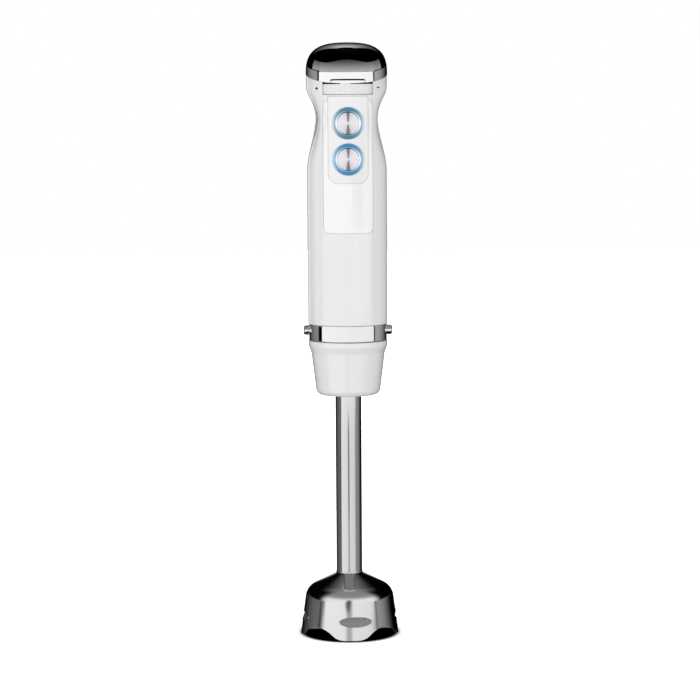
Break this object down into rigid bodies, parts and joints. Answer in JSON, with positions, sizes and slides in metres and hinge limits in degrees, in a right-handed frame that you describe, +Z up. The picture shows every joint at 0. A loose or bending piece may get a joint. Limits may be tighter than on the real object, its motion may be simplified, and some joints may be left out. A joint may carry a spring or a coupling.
{
  "type": "immersion blender",
  "caption": "Upright stick blender: round body with pinched grip, chrome cap, speed wheel and lit push buttons, on a detachable steel arm that ends in a vented blade bell.",
  "frame": {"origin": "on the surface that the bell stands on, under the axis of the arm", "axes": "+Z up along the arm, -Y towards the buttons, +X to the right as seen from the front"},
  "size_m": [0.0666, 0.0666, 0.4011],
  "materials": {
    "white_shell": "satin moulded",
    "white_panel": "high gloss",
    "chrome": "polished",
    "button_metal": "spun",
    "blue_light": "translucent, lit",
    "steel_tube": "brushed",
    "steel_bell": "polished",
    "steel": "ground",
    "zinc_steel": "zinc plated",
    "spring_steel": "drawn wire",
    "iron": "laminated",
    "copper": "enamelled wire",
    "bronze": "machined",
    "dark_plastic": "moulded",
    "pale_plastic": "moulded",
    "circuit_board": "fibreglass",
    "carbon": "pressed",
    "rubber": "moulded"
  },
  "bodies": {
    "motor_body": {"front_housing": "white_shell", "rear_housing": "white_shell", "shell_screws": "zinc_steel", "top_cap": "chrome", "front_panel": "white_panel", "button_plate": "white_panel", "upper_light_ring": "blue_light", "lower_light_ring": "blue_light", "upper_button_spring": "spring_steel", "lower_button_spring": "spring_steel", "control_board": "circuit_board", "board_screws": "zinc_steel", "board_components": "dark_plastic", "button_switches": "dark_plastic", "indicator_leds": "pale_plastic", "speed_potentiometer": "dark_plastic", "cord_gland": "rubber", "chrome_ring": "chrome", "coupling_socket": "dark_plastic", "socket_screws": "zinc_steel", "latch_ring": "spring_steel", "lower_motor_bracket": "dark_plastic", "upper_motor_bracket": "dark_plastic", "lower_bearing": "steel", "upper_bearing": "steel", "lower_damper": "rubber", "upper_damper": "rubber", "stator_core": "iron", "field_coils": "copper", "brush_holders": "bronze", "carbon_brushes": "carbon", "motor_screws": "zinc_steel"},
    "rotor": {"motor_shaft": "steel", "armature_core": "iron", "armature_windings": "copper", "commutator": "copper", "cooling_fan": "dark_plastic", "motor_drive_dog": "dark_plastic"},
    "speed_control": {"speed_wheel": "white_shell", "wheel_spindle": "dark_plastic"},
    "upper_button": {"upper_button_cap": "button_metal", "upper_button_plunger": "pale_plastic"},
    "lower_button": {"lower_button_cap": "button_metal", "lower_button_plunger": "pale_plastic"},
    "left_release": {"left_release_button": "chrome"},
    "right_release": {"right_release_button": "chrome"},
    "blending_arm": {"arm_coupler": "white_shell", "arm_tube": "steel_tube", "bell_guard": "steel_bell", "arm_lower_bush": "bronze", "arm_upper_bush": "bronze", "shaft_seal": "rubber"},
    "blade_spindle": {"blade_shaft": "steel", "blade": "steel", "blade_nut": "steel", "arm_drive_dog": "dark_plastic"}
  },
  "joints": [
    {"name": "rotor_spin", "type": "hinge", "parent": "motor_body", "child": "rotor", "pos_m": [0, 0, 0.25], "axis": [0, 0, 1], "continuous": true},
    {"name": "speed_wheel_turn", "type": "hinge", "parent": "motor_body", "child": "speed_control", "pos_m": [0, -0.0029, 0.37], "axis": [0, 0, 1], "range_deg": [-140, 140]},
    {"name": "upper_button_press", "type": "slide", "parent": "motor_body", "child": "upper_button", "axis": [0, 1, 0], "range_m": [0, 0.0018], "stiffness_N_per_m": 800, "springref_m": -0.001, "deforming": ["upper_button_spring"]},
    {"name": "lower_button_press", "type": "slide", "parent": "motor_body", "child": "lower_button", "axis": [0, 1, 0], "range_m": [0, 0.0018], "stiffness_N_per_m": 800, "springref_m": -0.001, "deforming": ["lower_button_spring"]},
    {"name": "left_release_press", "type": "slide", "parent": "motor_body", "child": "left_release", "axis": [1, 0, 0], "range_m": [0, 0.002], "stiffness_N_per_m": 1500, "springref_m": -0.0005, "deforming": ["latch_ring"]},
    {"name": "right_release_press", "type": "slide", "parent": "motor_body", "child": "right_release", "axis": [-1, 0, 0], "range_m": [0, 0.002], "stiffness_N_per_m": 1500, "springref_m": -0.0005, "deforming": ["latch_ring"]},
    {"name": "arm_release", "type": "slide", "parent": "motor_body", "child": "blending_arm", "axis": [0, 0, -1], "range_m": [0, 0.06], "deforming": ["latch_ring"]},
    {"name": "spindle_spin", "type": "hinge", "parent": "blending_arm", "child": "blade_spindle", "pos_m": [0, 0, 0.1], "axis": [0, 0, 1], "continuous": true}
  ],
  "couplings": [
    {"joint": "spindle_spin", "follows": "rotor_spin", "ratio": 1}
  ]
}
